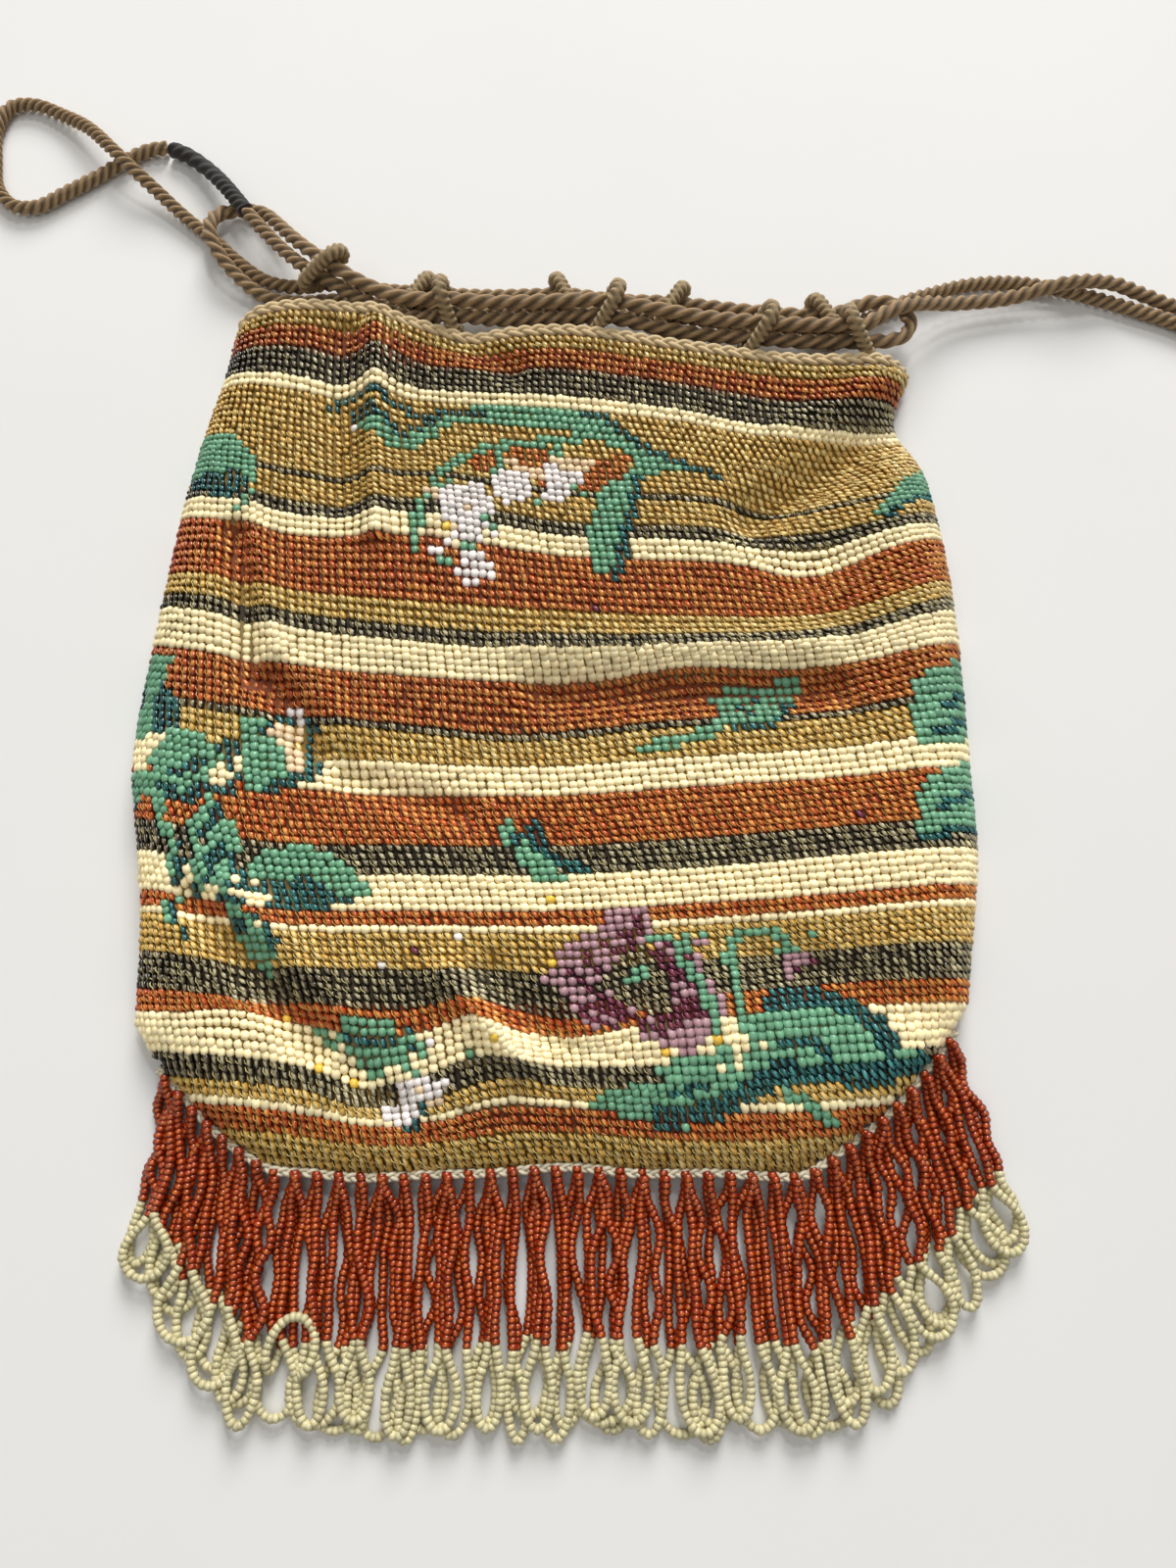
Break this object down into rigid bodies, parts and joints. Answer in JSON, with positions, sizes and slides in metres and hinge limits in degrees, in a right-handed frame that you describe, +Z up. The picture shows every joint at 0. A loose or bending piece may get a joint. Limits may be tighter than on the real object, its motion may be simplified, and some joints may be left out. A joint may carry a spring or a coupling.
{
  "type": "beaded drawstring purse",
  "caption": "Bead-knitted drawstring purse lying flat, with an open mouth on crocheted loops, twisted cord drawstrings and a looped bead fringe along the bottom",
  "frame": {"origin": "on the table, below the middle of the purse's box without its drawstrings", "axes": "+Z up from the table, +Y from the fringe to the mouth, +X to the right seen from above"},
  "size_m": [0.3097, 0.3043, 0.0165],
  "materials": {
    "knit_beads": "small glossy glass beads knitted on thread, in stripes of rust, gold, dark olive and cream with floral sprigs",
    "crochet_thread": "brown crocheted thread, matt and slightly fuzzy",
    "twisted_cord": "brown twisted cord, matt with a soft sheen",
    "binding_thread": "dark thread wound over the cord's join",
    "edging_thread": "pale crocheted thread, matt",
    "rust_beads": "rust-brown glass seed beads on thread, glossy",
    "pale_beads": "pale yellow-green glass seed beads on thread, glossy"
  },
  "bodies": {
    "root": {"purse_body": "knit_beads", "mouth_braid": "crochet_thread", "ring_front_1": "crochet_thread", "ring_front_2": "crochet_thread", "ring_front_3": "crochet_thread", "ring_front_4": "crochet_thread", "ring_front_5": "crochet_thread", "ring_back_1": "crochet_thread", "ring_back_2": "crochet_thread", "ring_back_3": "crochet_thread", "ring_back_4": "crochet_thread", "drawstring_left": "twisted_cord", "cord_whipping": "binding_thread", "drawstring_right": "twisted_cord", "bottom_edging": "edging_thread", "fringe_strands": "rust_beads", "fringe_loops": "pale_beads"}
  },
  "joints": []
}
